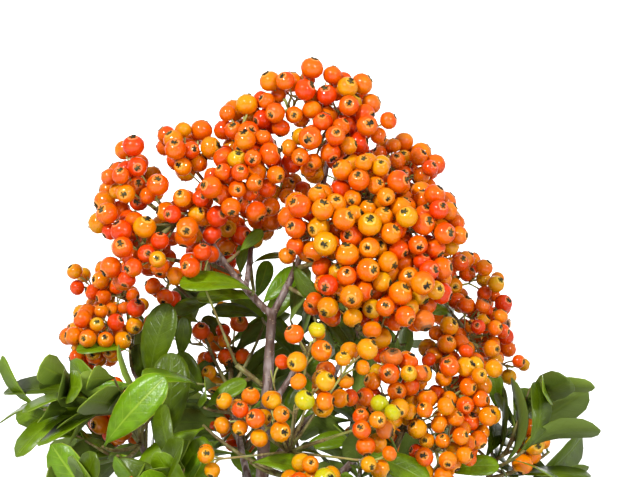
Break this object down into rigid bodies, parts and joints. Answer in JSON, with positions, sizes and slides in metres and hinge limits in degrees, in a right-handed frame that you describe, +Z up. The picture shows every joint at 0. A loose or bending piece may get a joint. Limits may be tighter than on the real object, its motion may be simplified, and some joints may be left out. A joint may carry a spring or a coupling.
{
  "type": "firethorn shrub",
  "caption": "Young upright evergreen shrub: a forked woody stem and thin boughs carry leafy sprays crowded with clusters of glossy round berries.",
  "frame": {"origin": "middle of the flat cut under the stem, at ground level", "axes": "+Z up along the plant; -Y faces the viewer of the fullest side; +X to that viewer's right"},
  "size_m": [0.2264, 0.1927, 0.3421],
  "materials": {
    "bark": "satin young bark, brown with a grey bloom",
    "berry_spray": "glossy berries over leathery leaves",
    "leaf_spray": "leathery leaves with a waxy upper side"
  },
  "bodies": {
    "root": {"arm_left": "bark", "arm_right": "bark", "bough_back": "bark", "bough_back_left": "bark", "bough_back_top": "bark", "bough_far_right": "bark", "bough_fork": "bark", "bough_front": "bark", "bough_front_left": "bark", "bough_inner_left": "bark", "bough_inner_right": "bark", "bough_low_1": "bark", "bough_low_2": "bark", "bough_low_3": "bark", "bough_low_4": "bark", "bough_lower_left": "bark", "bough_lower_right": "bark", "bough_middle_1": "bark", "bough_middle_2": "bark", "bough_middle_3": "bark", "bough_middle_4": "bark", "bough_rear_1": "bark", "bough_rear_2": "bark", "bough_rear_3": "bark", "bough_shoulder_left": "bark", "bough_shoulder_right": "bark", "spray_back": "berry_spray", "spray_back_left": "berry_spray", "spray_back_top": "berry_spray", "spray_far_right": "leaf_spray", "spray_fork": "leaf_spray", "spray_front": "berry_spray", "spray_front_left": "leaf_spray", "spray_inner_front": "leaf_spray", "spray_inner_left": "leaf_spray", "spray_inner_right": "leaf_spray", "spray_left": "berry_spray", "spray_low_1": "leaf_spray", "spray_low_2": "leaf_spray", "spray_low_3": "leaf_spray", "spray_low_4": "leaf_spray", "spray_lower_left": "leaf_spray", "spray_lower_right": "berry_spray", "spray_middle_1": "leaf_spray", "spray_middle_2": "leaf_spray", "spray_middle_3": "leaf_spray", "spray_middle_4": "leaf_spray", "spray_rear_1": "leaf_spray", "spray_rear_2": "leaf_spray", "spray_rear_3": "leaf_spray", "spray_right": "berry_spray", "spray_shoulder_left": "berry_spray", "spray_shoulder_right": "berry_spray", "spray_top": "berry_spray", "spray_top_left": "berry_spray", "stem": "bark"}
  },
  "joints": []
}
